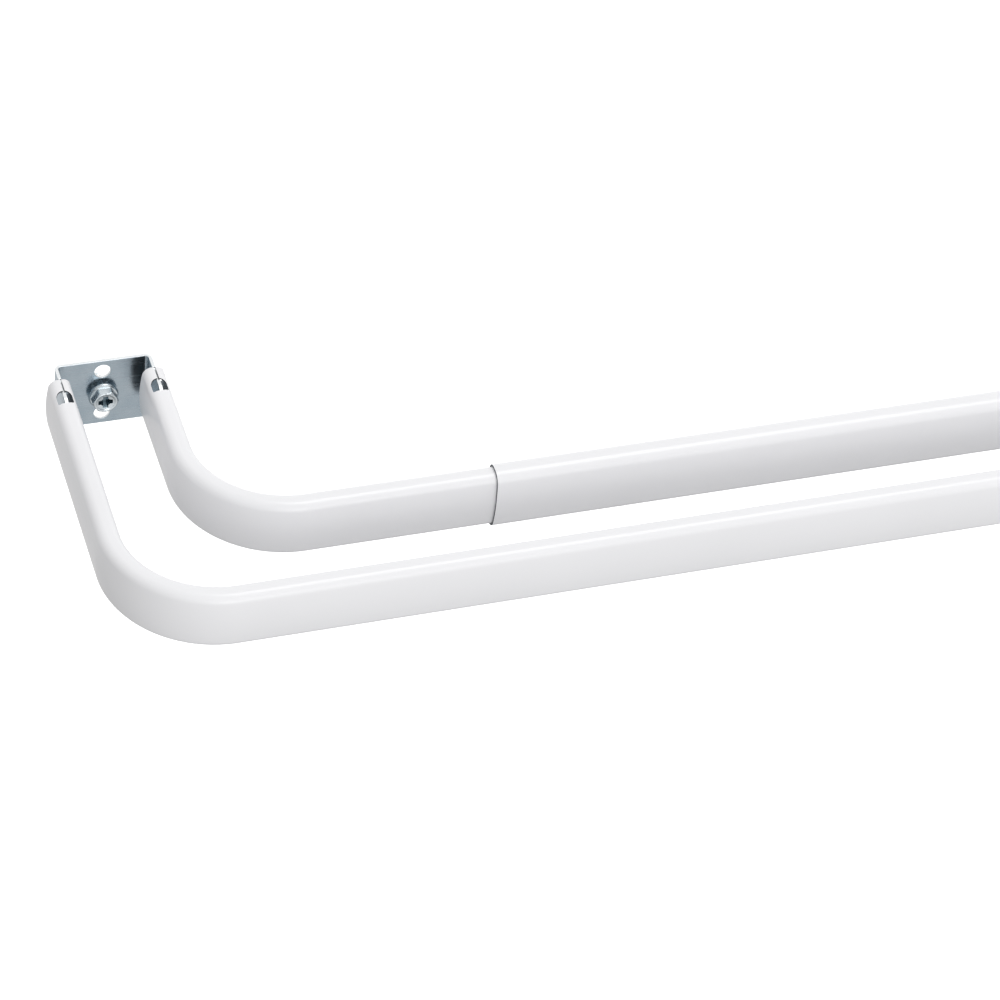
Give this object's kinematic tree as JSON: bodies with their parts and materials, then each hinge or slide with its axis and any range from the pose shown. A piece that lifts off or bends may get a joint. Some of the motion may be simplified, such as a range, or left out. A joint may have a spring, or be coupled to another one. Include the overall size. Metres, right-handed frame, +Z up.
{
  "type": "double curtain rod",
  "caption": "Double curtain rod: two flat white telescoping rods, one behind the other, bent back to the wall at both ends and hooked on shared zinc-plated wall brackets.",
  "frame": {"origin": "centre of the left wall bracket's plate, on the face that lies on the wall", "axes": "+X along the rods to the right end, +Y into the wall, +Z up"},
  "size_m": [0.8187, 0.1033, 0.0229],
  "materials": {
    "white_enamel": "gloss white baked enamel",
    "zinc_plate": "bright zinc plated"
  },
  "bodies": {
    "left_end": {"left_wall_bracket": "zinc_plate", "left_bracket_screw": "zinc_plate", "front_rod_inner_half": "white_enamel", "back_rod_inner_half": "white_enamel"},
    "right_end": {"right_wall_bracket": "zinc_plate", "right_bracket_screw": "zinc_plate", "front_rod_outer_half": "white_enamel"},
    "back_right_half": {"back_rod_outer_half": "white_enamel"}
  },
  "joints": [
    {"name": "front_telescope", "type": "slide", "parent": "left_end", "child": "right_end", "axis": [1, 0, 0], "range_m": [-0.045, 0.4]},
    {"name": "back_telescope", "type": "slide", "parent": "left_end", "child": "back_right_half", "axis": [1, 0, 0], "range_m": [-0.045, 0.4]}
  ],
  "couplings": [
    {"joint": "back_telescope", "follows": "front_telescope", "ratio": 1}
  ]
}
